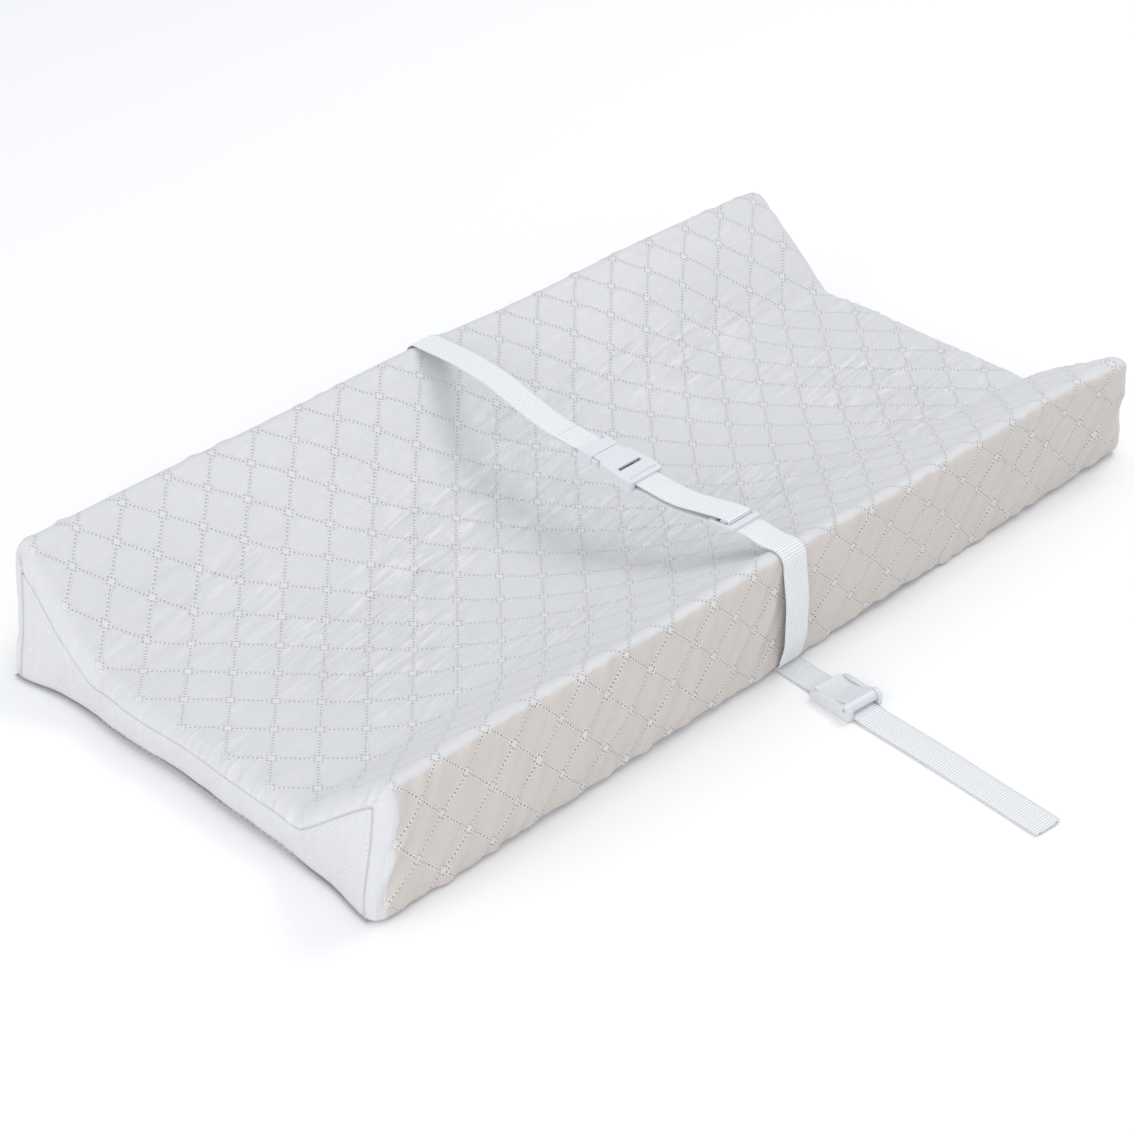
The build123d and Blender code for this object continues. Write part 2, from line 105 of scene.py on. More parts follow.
camera_data = bpy.data.cameras.new("camera")
camera_data.lens = 85.4
camera_data.sensor_width = 36
camera_data.shift_x = -0.0291
camera_data.shift_y = -0.0107
camera_data.clip_end = 20
camera = bpy.data.objects.new("camera", camera_data)
bpy.context.scene.collection.objects.link(camera)
towards_camera = look_direction(camera_azimuth, camera_elevation)
camera.location = towards_camera * camera_distance
camera.rotation_mode = "QUATERNION"
camera.rotation_quaternion = (-towards_camera).to_track_quat("-Z", "Y")
bpy.context.scene.camera = camera


def area_light(name, azimuth, elevation, distance, size, watts, colour):
    """Square soft light that points at the pad."""
    data = bpy.data.lights.new(name, "AREA")
    data.shape = "SQUARE"
    data.size = size
    data.energy = watts
    data.color = colour
    light = bpy.data.objects.new(name, data)
    bpy.context.scene.collection.objects.link(light)
    direction = look_direction(azimuth, elevation)
    light.location = direction * distance
    light.rotation_mode = "QUATERNION"
    light.rotation_quaternion = (-direction).to_track_quat("-Z", "Y")


white = (1, 1, 1)
cool = (0.98, 0.98, 1)
warm = (1, 0.99, 0.98)
area_light("key", azimuth=80, elevation=56, distance=2.6, size=1.1, watts=18, colour=white)
area_light("left_fill", azimuth=-90, elevation=24, distance=2.0, size=1.4, watts=10, colour=cool)
area_light("front_fill", azimuth=-35, elevation=20, distance=2.4, size=1.6, watts=9, colour=warm)
area_light("top_fill", azimuth=180, elevation=65, distance=2.8, size=2.0, watts=5, colour=white)

world = bpy.data.worlds.new("studio")
world.use_nodes = True
background = world.node_tree.nodes["Background"]
background.inputs["Color"].default_value = (0.95, 0.97, 1.0, 1)
background.inputs["Strength"].default_value = 0.76
bpy.context.scene.world = world
bpy.context.scene.view_settings.view_transform = "Standard"


# ---------------------------------------------------------------- node helpers

class Nodes:
    """Short ways to add nodes to one material."""

    def __init__(self, name):
        self.material = bpy.data.materials.new(name)
        self.material.use_nodes = True
        self.tree = self.material.node_tree
        self.shader = self.tree.nodes["Principled BSDF"]

    def math(self, operation, *given):
        """Result of a Math node, from numbers and node outputs."""
        node = self.tree.nodes.new("ShaderNodeMath")
        node.operation = operation
        for socket, value in zip(node.inputs, given):
            if isinstance(value, (int, float)):
                socket.default_value = value
            else:
                self.tree.links.new(value, socket)
        return node.outputs[0]

    def attribute(self, name):
        """The three numbers of a mesh attribute."""
        node = self.tree.nodes.new("ShaderNodeAttribute")
        node.attribute_name = name
        parts = self.tree.nodes.new("ShaderNodeSeparateXYZ")
        self.tree.links.new(node.outputs["Vector"], parts.inputs[0])
        return parts.outputs

    def place(self):
        """The point on the object, in metres."""
        return self.tree.nodes.new("ShaderNodeTexCoord").outputs["Object"]

    def noise(self, scale, detail, stretch=(1, 1, 1), turn=(0, 0, 0)):
        """Noise with about scale bumps in a metre, drawn out along axes that are turned by degrees."""
        mapping = self.tree.nodes.new("ShaderNodeMapping")
        mapping.vector_type = "TEXTURE"
        mapping.inputs["Scale"].default_value = stretch
        mapping.inputs["Rotation"].default_value = [radians(angle) for angle in turn]
        self.tree.links.new(self.place(), mapping.inputs["Vector"])
        node = self.tree.nodes.new("ShaderNodeTexNoise")
        node.inputs["Scale"].default_value = scale
        node.inputs["Detail"].default_value = detail
        self.tree.links.new(mapping.outputs[0], node.inputs["Vector"])
        return node.outputs["Fac"]

    def ramp(self, value, low, high, to_low=0.0, to_high=1.0):
        """Value taken smoothly from low..high to to_low..to_high."""
        node = self.tree.nodes.new("ShaderNodeMapRange")
        node.interpolation_type = "SMOOTHSTEP"
        ends = {"From Min": low, "From Max": high, "To Min": to_low, "To Max": to_high}
        for name, number in ends.items():
            node.inputs[name].default_value = number
        self.tree.links.new(value, node.inputs["Value"])
        return node.outputs["Result"]

    def blend(self, amount, first, second):
        """Colour between first and second."""
        node = self.tree.nodes.new("ShaderNodeMix")
        node.data_type = "RGBA"
        factor, colour_a, colour_b = (node.inputs[k] for k in (0, 6, 7))
        for socket, value in ((factor, amount), (colour_a, first), (colour_b, second)):
            if isinstance(value, (int, float)):
                socket.default_value = value
            elif isinstance(value, tuple):
                socket.default_value = (*value, 1)
            else:
                self.tree.links.new(value, socket)
        return node.outputs[2]

    def bump(self, height, distance, strength):
        """Bump of height 0 to 1 times distance, over the bumps made before it."""
        node = self.tree.nodes.new("ShaderNodeBump")
        node.inputs["Distance"].default_value = distance
        node.inputs["Strength"].default_value = strength
        self.tree.links.new(height, node.inputs["Height"])
        before = self.shader.inputs["Normal"]
        if before.is_linked:
            self.tree.links.new(before.links[0].from_socket, node.inputs["Normal"])
        self.tree.links.new(node.outputs[0], before)

    def set(self, name, value):
        """Sets a shader input to a number, colour or node output."""
        socket = self.shader.inputs[name]
        if isinstance(value, tuple):
            socket.default_value = (*value, 1)
        elif isinstance(value, (int, float)):
            socket.default_value = value
        else:
            self.tree.links.new(value, socket)


# ---------------------------------------------------------------- materials

def quilt_material(name, top_colour, shaded_side_colour):
    """Coated quilting fabric: rows of pressed dots, a fine weave and small creases, with painted shade and
    painted highlights on them.

    The mesh attribute quilt holds the place in the lattice, in dots, and how far the cloth is on the
    pad's long sides, which are painted darker and warmer as shade. The attribute finish holds
    how deep the dots are pressed, how creased the cloth is, and how near the seam is; these set both
    the bumps and the painted shade and highlights."""
    n = Nodes(name)
    along, across, side = n.attribute("quilt")
    pressed, creased, seam = n.attribute("finish")

    def from_line(value, pitch):
        """Distance from the nearest multiple of pitch."""
        nearest = n.math("SNAP", n.math("ADD", value, pitch / 2), pitch)
        return n.math("ABSOLUTE", n.math("SUBTRACT", value, nearest))

    def span(a, b):
        """Length of a step of a one way and b the other."""
        return n.math("SQRT", n.math("ADD", n.math("MULTIPLY", a, a), n.math("MULTIPLY", b, b)))

    def by_side(on_top, on_sides):
        """One number on the pad's top and another on its long sides."""
        return n.ramp(side, 0.3, 0.7, on_top, on_sides)

    # The nearest dot's distance, in dots: it is in a row along a stitched line, or one of the four
    # round a crossing, and the rows stop short of the crossing
    row_end = 0.6
    ring_reach = 0.85
    first = from_line(along, dots_per_cell)
    second = from_line(across, dots_per_cell)
    first_row = span(first, from_line(across, 1))
    second_row = span(second, from_line(along, 1))
    before_end = n.math("SUBTRACT", row_end, span(first, second))
    rows = n.math("MAXIMUM", n.math("MINIMUM", first_row, second_row), before_end)
    ring = span(
        n.math("ABSOLUTE", n.math("SUBTRACT", first, ring_reach)),
        n.math("ABSOLUTE", n.math("SUBTRACT", second, ring_reach)),
    )
    dot = n.math("MINIMUM", rows, ring)
    pit = n.math("MULTIPLY", pressed, n.ramp(dot, 0.16, 0.29, 1, 0))
    rim = n.math("MULTIPLY", n.ramp(dot, 0.24, 0.36), n.ramp(dot, 0.46, 0.66, 1, 0))
    rim = n.math("MULTIPLY", pressed, rim)

    # The coating's faint blotches, then painted shade in the dots' pits, a painted highlight on the raised
    # rims round them, and painted shade along the sunk seam
    on_side = by_side(0, 1)
    patches = n.noise(9, detail=3)
    mottle = n.noise(160, detail=3)
    # Painted shade: the long sides are painted darker and warmer than the top, though the cloth is the
    # same white all round
    colour = n.blend(on_side, top_colour, shaded_side_colour)
    colour = n.blend(n.ramp(patches, 0.35, 0.7, 0, 0.05), colour, (0.45, 0.46, 0.50))
    colour = n.blend(n.ramp(mottle, 0.4, 0.7, 0, 0.04), colour, (0.50, 0.48, 0.47))
    # Painted shade in the dots' pits, warmer on the long sides
    shade = n.blend(on_side, (0.24, 0.25, 0.27), (0.24, 0.19, 0.15))
    colour = n.blend(n.math("MULTIPLY", pit, by_side(0.26, 0.42)), colour, shade)
    # Painted highlight: the raised rims round the dots are painted lighter
    colour = n.blend(n.math("MULTIPLY", rim, by_side(0.48, 0.54)), colour, (0.90, 0.90, 0.91))
    # Painted shade along the sunk seam: the cloth is darkened next to it
    colour = n.blend(n.math("MULTIPLY", seam, 0.45), colour, (0.22, 0.22, 0.24))

    # Fine creases: along the pad on its top, and up and down on its long sides
    lengthwise = n.noise(210, detail=3, stretch=(7, 1, 7), turn=(0, 0, 11))
    upright = n.noise(150, detail=3, stretch=(1, 1, 6), turn=(0, 27, 0))
    on_top = n.math("SUBTRACT", 1, on_side)
    top_crease = n.math("MULTIPLY", lengthwise, on_top)
    side_crease = n.math("MULTIPLY", upright, n.math("MULTIPLY", on_side, 0.7))
    crease = n.math("ADD", top_crease, side_crease)
    # Painted light on the top's creases: their crests are painted lighter as highlights and their troughs
    # darker as shade
    crease_light_mask = n.math("MULTIPLY", on_top, creased)
    crease_highlight = n.math("MULTIPLY", crease_light_mask, n.ramp(lengthwise, 0.53, 0.68, 0, 0.40))
    crease_shade = n.math("MULTIPLY", crease_light_mask, n.ramp(lengthwise, 0.34, 0.47, 0.14, 0))
    colour = n.blend(crease_shade, n.blend(crease_highlight, colour, (0.82, 0.82, 0.83)), (0.42, 0.43, 0.45))

    n.set("Base Color", colour)
    n.set("Roughness", n.ramp(mottle, 0.3, 0.7, 0.42, 0.56))
    n.set("Specular IOR Level", 0.42)
    n.set("Sheen Weight", 0.08)
    n.set("Sheen Roughness", 0.4)
    n.bump(n.noise(2600, detail=1), 0.05 * mm, 0.5)
    n.bump(n.math("MULTIPLY", crease, creased), 2.6 * mm, 0.9)
    n.bump(n.math("SUBTRACT", rim, pit), 0.40 * mm, 1.0)
    return n.material


def webbing_material(name, colour):
    """Woven webbing. The mesh attribute weave holds the distance along and across, in metres."""
    n = Nodes(name)
    along, across, _ = n.attribute("weave")
    rib = n.math("COSINE", n.math("MULTIPLY", along, 2 * pi / rib_pitch))
    # Yarns lie in columns, and the ribs are weaker between them
    column = n.math("COSINE", n.math("MULTIPLY", across, 2 * pi / column_pitch))
    yarn = n.math("MULTIPLY", rib, n.math("ADD", 0.55, n.math("MULTIPLY", column, 0.45)))
    gap = n.ramp(yarn, -0.15, -0.85, 0, 1)
    half = webbing_width / 2
    edge = n.ramp(n.math("ABSOLUTE", across), half - 1.3 * mm, half - 0.3 * mm)
    fuzz = n.noise(1900, detail=3)
    tone = n.blend(n.ramp(fuzz, 0.35, 0.75, 0, 0.10), colour, (0.66, 0.68, 0.72))
    # Painted shade in the gaps between the ribs
    tone = n.blend(n.math("MULTIPLY", gap, 0.85), tone, (0.33, 0.36, 0.40))
    tone = n.blend(n.math("MULTIPLY", edge, 0.15), tone, (0.70, 0.72, 0.76))
    n.set("Base Color", tone)
    n.set("Roughness", n.ramp(fuzz, 0.3, 0.7, 0.62, 0.78))
    n.set("Sheen Weight", 0.2)
    n.set("Sheen Roughness", 0.5)
    n.bump(fuzz, 0.12 * mm, 0.6)
    n.bump(n.ramp(yarn, -1, 1), 0.30 * mm, 0.9)
    return n.material


def plastic_material(name, colour):
    """Moulded acetal with a slight orange-peel surface and rubbed patches."""
    n = Nodes(name)
    patches = n.noise(60, detail=3)
    grain = n.noise(900, detail=2)
    n.set("Base Color", n.blend(n.ramp(patches, 0.4, 0.7, 0, 0.10), colour, (0.62, 0.64, 0.68)))
    n.set("Roughness", n.ramp(n.math("ADD", grain, patches), 0.7, 1.3, 0.28, 0.44))
    n.set("Specular IOR Level", 0.5)
    n.bump(grain, 0.03 * mm, 0.5)
    n.bump(patches, 0.10 * mm, 0.3)
    return n.material


def backing_material(name):
    """Plain woven underside fabric with small non-slip dots, painted dark grey: past the pad's ends its
    edge shows as painted shade under the raised lower edge.
    """
    n = Nodes(name)
    spots = n.tree.nodes.new("ShaderNodeTexVoronoi")
    spots.inputs["Scale"].default_value = 170
    spots.inputs["Randomness"].default_value = 0.0
    n.tree.links.new(n.place(), spots.inputs["Vector"])
    spot = n.ramp(spots.outputs["Distance"], 0.22, 0.30, 1, 0)
    weave = n.noise(1500, detail=2)
    colour = n.blend(n.ramp(weave, 0.3, 0.7, 0, 0.3), (0.40, 0.40, 0.42), (0.28, 0.28, 0.30))
    n.set("Base Color", n.blend(spot, colour, (0.52, 0.52, 0.54)))
    n.set("Roughness", n.ramp(weave, 0.3, 0.7, 0.75, 0.9))
    n.bump(weave, 0.12 * mm, 0.6)
    n.bump(spot, 0.3 * mm, 0.8)
    return n.material


def foam_material(name):
    """Open-cell foam."""
    n = Nodes(name)
    cells = n.tree.nodes.new("ShaderNodeTexVoronoi")
    cells.inputs["Scale"].default_value = 1100
    n.tree.links.new(n.place(), cells.inputs["Vector"])
    # Painted shade in the cells' hollows: the hollows are coloured darker than the struts
    hole = n.ramp(cells.outputs["Distance"], 0.1, 0.5)
    n.set("Base Color", n.blend(hole, (0.55, 0.52, 0.42), (0.86, 0.83, 0.72)))
    n.set("Roughness", n.ramp(hole, 0, 1, 0.8, 0.95))
    n.bump(hole, 0.5 * mm, 0.8)
    return n.material


def thread_material(name):
    """Twisted sewing thread."""
    n = Nodes(name)
    twist = n.noise(2500, detail=2, stretch=(1, 2.5, 1))
    n.set("Base Color", n.blend(n.ramp(twist, 0.35, 0.65, 0, 0.4), (0.86, 0.87, 0.89), (0.60, 0.62, 0.66)))
    n.set("Roughness", n.ramp(twist, 0.3, 0.7, 0.5, 0.7))
    n.bump(twist, 0.1 * mm, 0.8)
    return n.material


def steel_material(name):
    """Ground steel pin."""
    n = Nodes(name)
    lines = n.noise(1500, detail=2, stretch=(10, 1, 1))
    n.set("Base Color", n.blend(n.ramp(lines, 0.3, 0.7), (0.50, 0.50, 0.51), (0.62, 0.62, 0.63)))
    n.set("Metallic", 1.0)
    n.set("Roughness", n.ramp(lines, 0.3, 0.7, 0.3, 0.45))
    n.bump(lines, 0.02 * mm, 0.5)
    return n.material


def floor_material(name):
    """Plain pale floor."""
    n = Nodes(name)
    grain = n.noise(40, detail=3)
    n.set("Base Color", n.blend(n.ramp(grain, 0.3, 0.7, 0, 0.02), (0.93, 0.93, 0.93), (0.90, 0.90, 0.90)))
    n.set("Roughness", 0.8)
    n.set("Specular IOR Level", 0.2)
    return n.material


# The second colour is the long sides' painted warm shade
quilt = quilt_material("quilted_cloth", (0.63, 0.635, 0.645), (0.60, 0.555, 0.52))
webbing = webbing_material("webbing", (0.82, 0.83, 0.85))
plastic = plastic_material("white_acetal", (0.69, 0.705, 0.735))
backing = backing_material("underside_fabric")
foam = foam_material("foam")
thread = thread_material("thread")
steel = steel_material("pin_steel")


# ---------------------------------------------------------------- mesh helpers

def grid_faces(rows, columns, wrap=False):
    """Corner numbers of the quads between rows of points."""
    index = np.arange(rows * columns).reshape(rows, columns)
    if wrap:
        index = np.concatenate([index, index[:, :1]], axis=1)
    quads = np.stack([index[:-1, :-1], index[1:, :-1], index[1:, 1:], index[:-1, 1:]], axis=-1)
    return quads.reshape(-1, 4).tolist()


def new_piece(name, points, faces, material, slot, **attributes):
    """Smooth-shaded mesh object with a vector attribute for each one given."""
    mesh = bpy.data.meshes.new(name)
    mesh.from_pydata(np.reshape(points, (-1, 3)).tolist(), [], faces)
    mesh.validate()
    mesh.polygons.foreach_set("use_smooth", [True] * len(mesh.polygons))
    for key, values in attributes.items():
        attribute = mesh.attributes.new(key, "FLOAT_VECTOR", "POINT")
        attribute.data.foreach_set("vector", np.ravel(values).astype(np.float32))
    mesh.materials.append(material)
    piece = bpy.data.objects.new(name, mesh)
    bpy.context.scene.collection.objects.link(piece)
    return piece


def smoothstep(value, low, high):
    """0 up to low and 1 from high, and smooth between them."""
    t = np.clip((value - low) / (high - low), 0, 1)
    return t * t * (3 - 2 * t)


def hill(value, centre, half_span):
    """1 at the centre, falling smoothly to 0 at half_span from it."""
    return 1 - smoothstep(np.abs(value - centre), 0, half_span)


def ripples(a, b, scale, seed, waves=14):
    """Gentle random field over a and b, about -1 to 1, with bumps about scale across."""
    rng = np.random.default_rng(seed)
    total = np.zeros(np.broadcast(a, b).shape)
    for _ in range(waves):
        angle, phase = rng.uniform(0, 2 * pi, 2)
        k = 2 * pi / (scale * rng.uniform(1.4, 2.8))
        total += np.sin(k * (a * cos(angle) + b * sin(angle)) + phase)
    return total / (waves / 2) ** 0.5


def folds(a, b, scale, stretch, seed):
    """Random creases that run along a: bumps scale apart across b, and stretch times longer."""
    return ripples(a / stretch, b, scale, seed)


def rounded_path(corners, radii):
    """Straight runs and arcs of a flat path with rounded corners: a point maker and a length each."""
    corners = [np.array(c, float) for c in corners]
    parts = []
    start = corners[0]
    for before, corner, after, radius in zip(corners, corners[1:], corners[2:], radii):
        into = (corner - before) / np.linalg.norm(corner - before)
        out = (after - corner) / np.linalg.norm(after - corner)
        turn = acos(max(-1.0, min(1.0, float(into @ out))))
        side = 1.0 if into[0] * out[1] - into[1] * out[0] > 0 else -1.0
        arc_start = corner - into * radius * tan(turn / 2)
        centre = arc_start + side * radius * np.array([-into[1], into[0]])
        parts.append((run(start, arc_start), np.linalg.norm(arc_start - start)))
        parts.append((arc(centre, arc_start - centre, side * turn), radius * turn))
        start = corner + out * radius * tan(turn / 2)
    parts.append((run(start, corners[-1]), np.linalg.norm(corners[-1] - start)))
    return parts


def run(start, end):
    """Points of a straight run at shares of its length."""
    return lambda share: start + np.outer(share, end - start)


def arc(centre, spoke, turn):
    """Points of an arc at shares of its turn."""
    def points(share):
        c, s = np.cos(share * turn), np.sin(share * turn)
        return centre + np.stack([c * spoke[0] - s * spoke[1], s * spoke[0] + c * spoke[1]], axis=-1)
    return points


def path_points(parts, counts):
    """All points of a path, with counts points on each part."""
    points = [make(np.arange(count) / count) for (make, _), count in zip(parts, counts)]
    points.append(parts[-1][0](np.array([1.0])))
    return np.concatenate(points)


def path_counts(parts, step):
    """How many points each part of a path gets when they are about a step apart."""
    return [max(2, round(length / step)) for _, length in parts]


def lengths_along(points):
    """Distance of each point from the first, along the line."""
    return np.concatenate([[0], np.cumsum(np.linalg.norm(np.diff(points, axis=0), axis=1))])


# ---------------------------------------------------------------- the pad's shape

def profile_parts(inset):
    """The pad's outline from the near bottom edge over both ridges to the far one, drawn in by inset."""
    side = half_width - inset
    valley = valley_half_width + inset * tan(slope_angle / 2)
    crest = valley_height + (side - valley_half_width) * tan(slope_angle) - inset / cos(slope_angle)
    right = [(valley, valley_height - inset), (side, crest), (side, hem_z), (side - hem_width, hem_z)]
    left = [(-y, z) for y, z in reversed(right)]
    turns = [valley_radius + inset, max(crest_radius - inset, least_radius), hem_radius]
    return rounded_path(left + right, turns[::-1] + turns)


# The part of the outline that the bowl can cover: the valley, both slopes and the ridges
outline = path_points(profile_parts(0), path_counts(profile_parts(0), 1 * mm))
off_walls = np.abs(outline[:, 0]) < half_width - 1 * mm
above_hem = outline[:, 1] > valley_height - 1 * mm
top_outline = outline[off_walls & above_hem]


def bowl_rise(y):
    """How far the bowl lies above the foam's outline at y."""
    bowl = valley_height + bowl_curve * (y - bowl_middle) ** 2
    foam_top = np.interp(y, top_outline[:, 0], top_outline[:, 1])
    return np.maximum(bowl - foam_top, 0) * (1 - smoothstep(np.abs(y), 0.16, 0.19))


def stretched(x):
    """1 along the middle of the pad, where the cover is one bowl, falling to 0 at its ends."""
    return 1 - smoothstep(np.abs(x), 0.15, 0.38)


# How far the soft pad leaves the plain one, in mm
far_ridge_rise = 1.5
far_ridge_middle_rise = 4.5
near_ridge_drop = 1.0
near_ridge_right_drop = 10.5
slope_fullness = 1.6
side_fullness = 2.2
near_corner_bulge = 7.0
end_lean = 1.5
left_end_lean = 5.0
ear_reach = 8.0
strap_lift = 3.0
slack_lift = 3.4
end_arch = 5.0
seam_lift = 4.0


def shaped(points):
    """Points of the plain pad moved to where the soft pad's surface is."""
    x, y, z = points[..., 0], points[..., 1], points[..., 2]
    far, near = y > 0, y < 0
    off_middle = np.abs(y)

    # The far ridge rises to the pad's middle, the near one falls to the right, and the valley is a bowl
    up = smoothstep(z, valley_height, ridge_height)
    middle = 1 - (x / half_length) ** 2
    rise = far_ridge_rise + far_ridge_middle_rise * middle
    drop = near_ridge_drop + near_ridge_right_drop * smoothstep(x, -0.3, 0.42)
    lift = far * rise - near * drop + 0.8 * ripples(x, y * 0.3, 0.12, seed=3)
    z_new = z + up * lift * mm + stretched(x) * bowl_rise(y) * smoothstep(z, 0.012, 0.033)

    # The slopes and long sides are a little full, as foam in a cover is
    off_side = off_middle < half_width - 12 * mm
    slope_middle = hill(z, 0.072, 0.035) * smoothstep(off_middle, 0.10, 0.13) * off_side
    z_new = z_new + slope_fullness * mm * slope_middle
    on_side = smoothstep(off_middle, half_width - 14 * mm, half_width - 1 * mm)
    fullness = side_fullness * np.sin(pi * np.clip(z / ridge_height, 0, 1)) ** 0.8
    fullness = fullness + 0.6 * ripples(x, z * 1.3, 0.07, seed=8)
    fullness = fullness * smoothstep(z, 0.0, 0.02) * (1 - 0.8 * smoothstep(z, 0.085, 0.105))
    fullness = fullness * (1 - 0.85 * hill(x, strap_x, 0.055))
    near_corner = near * hill(x, half_length, 0.09) * smoothstep(z, 0.04, 0.09)
    fullness = fullness + near_corner_bulge * near_corner
    y_new = y + np.sign(y) * on_side * fullness * mm

    # The end faces lean in towards the ridges' tops, and the lower corners stick out like ears
    near_end = smoothstep(np.abs(x), half_length - 0.07, half_length - 0.005)
    lean = (end_lean + left_end_lean * (x < 0)) * smoothstep(z, 0.045, 0.11)
    lean = lean + 0.8 * ripples(y, z, 0.05, seed=21)
    ear = ear_reach * hill(off_middle, half_width, 0.06) * hill(z, 0.0, 0.06)
    x_new = x - np.sign(x) * near_end * (lean - ear) * mm

    # Lower edges: raised where the straps go under and where the cover is pulled up
    low = 1 - smoothstep(z, 0.0, 0.03)
    under_strap = hill(x, strap_x, 0.034) * smoothstep(off_middle, 0.145, 0.155)
    slack = near * slack_lift * hill(x, 0.105, 0.09)
    slack = slack + 1.2 * (1 + ripples(x, y, 0.10, seed=5)) * on_side
    arch = near_end * (end_arch * np.cos(np.clip(y / half_width, -1, 1) * pi / 2) + 0.8)
    z_new = z_new + low * (strap_lift * under_strap + slack * (off_middle > 0.19) + arch) * mm
    at_seam = near_end * hill(z, 0.027, 0.014) * (1 - smoothstep(off_middle, 0.09, 0.12))
    z_new = z_new + seam_lift * at_seam * mm
    return np.stack([x_new, y_new, z_new], axis=-1)


def normals_of(points):
    """Unit normals of a grid of points."""
    along = np.gradient(points, axis=0)
    across = np.gradient(points, axis=1)
    normal = np.cross(along, across)
    return normal / np.maximum(np.linalg.norm(normal, axis=-1, keepdims=True), 1e-12)


# ---------------------------------------------------------------- quilting by cloth simulation

patch_cells = 5
patch_steps = 16
patch_scale = 20  # the patch is simulated larger than it is, because the solver is made for clothes
sim_frames = 24
gather_frames = 12
lowest_quilting = -1.2 * mm
highest_quilting = 3.2 * mm
gather = 0.035


def quilted_patch(gather_x, gather_t):
    """Heights of a patch of quilted cloth, pinned along its stitched lines, blown up and gathered.

    Rows follow one set of stitched lines and columns the other, so the patch repeats without a join."""
    size = patch_cells * patch_steps + 1
    p, q = np.meshgrid(np.arange(size) / patch_steps, np.arange(size) / patch_steps, indexing="ij")
    x = cell_x * (p + q) / 2 * patch_scale
    t = cell_t * (p - q) / 2 * patch_scale
    on_line = (np.abs(p - np.round(p)) < 1e-6) | (np.abs(q - np.round(q)) < 1e-6)
    z = 0.004 * (np.sin(9 * x + 31 * t + 1) + np.sin(13 * x - 23 * t) + np.sin(5 * x + 57 * t + 2))
    z[on_line] = 0
    gathered = np.stack([x, t, z], axis=-1).reshape(-1, 3)
    free = gathered * (1 + gather_x, 1 + gather_t, 1)
    faces = [face[::-1] for face in grid_faces(size, size)]
    patch = new_piece("patch", free, faces, quilt, "quilt")
    patch.shape_key_add(name="free")
    key = patch.shape_key_add(name="gathered")
    key.data.foreach_set("co", gathered.astype(np.float32).ravel())
    for frame_number, value in ((1, 0), (gather_frames, 1)):
        key.value = value
        key.keyframe_insert("value", frame=frame_number)
    patch.vertex_groups.new(name="stitches").add(np.flatnonzero(on_line).tolist(), 1.0, "REPLACE")
    cloth = patch.modifiers.new("cloth", "CLOTH")
    settings = cloth.settings
    settings.vertex_group_mass = "stitches"
    settings.quality = 6
    settings.mass = 0.2
    settings.air_damping = 4
    settings.tension_stiffness = 30
    settings.compression_stiffness = 30
    settings.shear_stiffness = 15
    settings.bending_stiffness = 5
    settings.use_pressure = True
    settings.uniform_pressure_force = 2
    settings.effector_weights.gravity = 0
    cloth.collision_settings.use_collision = False
    cloth.point_cache.frame_end = sim_frames
    for frame_number in range(1, sim_frames + 1):
        bpy.context.scene.frame_set(frame_number)
    mesh = patch.evaluated_get(bpy.context.evaluated_depsgraph_get()).to_mesh()
    places = np.zeros(size * size * 3, np.float32)
    mesh.vertices.foreach_get("co", places)
    bpy.data.objects.remove(patch)
    bpy.context.scene.frame_set(1)
    heights = places.reshape(size, size, 3)[..., 2].astype(float) / patch_scale
    heights[on_line] = 0

    # Each height is softened by the mean of its four neighbours
    soft = heights.copy()
    neighbours = heights[:-2, 1:-1] + heights[2:, 1:-1] + heights[1:-1, :-2] + heights[1:-1, 2:]
    soft[1:-1, 1:-1] = (heights[1:-1, 1:-1] * 4 + neighbours) / 8
    return np.clip(soft, lowest_quilting, highest_quilting)


def sampled(patch, p, q):
    """The patch's height at lattice places p and q, over and over."""
    rows = np.mod(p, patch_cells) * patch_steps
    columns = np.mod(q, patch_cells) * patch_steps
    i = np.minimum(rows.astype(int), patch_cells * patch_steps - 1)
    j = np.minimum(columns.astype(int), patch_cells * patch_steps - 1)
    u, v = rows - i, columns - j
    return (
        patch[i, j] * (1 - u) * (1 - v) + patch[i + 1, j] * u * (1 - v)
        + patch[i, j + 1] * (1 - u) * v + patch[i + 1, j + 1] * u * v
    )


smooth_patch = quilted_patch(0.0, 0.0)
lengthwise_patch = quilted_patch(0.0, gather)
crosswise_patch = quilted_patch(gather, 0.0)

# Where the lattice starts, in cells, and the groove pressed along its lines
lattice_start_p = 0.24
lattice_start_q = 0.50
groove_depth = 0.45 * mm
groove_width = 1.6 * mm


def quilt_height(x, t, lengthwise, crosswise):
    """Height of the quilting over the cover, and its lattice places in dots.

    x and t are distances over the cloth, and the last two say how much it is gathered each way."""
    p = x / cell_x + t / cell_t - lattice_start_p
    q = x / cell_x - t / cell_t - lattice_start_q
    calm = 1 - np.clip(lengthwise + crosswise, 0, 1)
    height = calm * sampled(smooth_patch, p, q)
    height += lengthwise * sampled(lengthwise_patch, p, q)
    height += crosswise * sampled(crosswise_patch, p, q)
    line_spacing = 1 / (1 / cell_x ** 2 + 1 / cell_t ** 2) ** 0.5
    to_line = np.minimum(np.abs(p - np.round(p)), np.abs(q - np.round(q))) * line_spacing
    groove = groove_depth * np.exp(-(to_line / groove_width) ** 2)
    return height - groove, p * dots_per_cell, q * dots_per_cell


# ---------------------------------------------------------------- cover

surface_step = 1.7 * mm
cloth_skin = 1.2 * mm
lowest = 0.2 * mm
roll_steps = 12
seam_depth = 0.9 * mm
seam_width = 1.8 * mm
# Width of the painted shade along the seams
seam_shade_width = 0.6 * mm
crease_turn = radians(11)


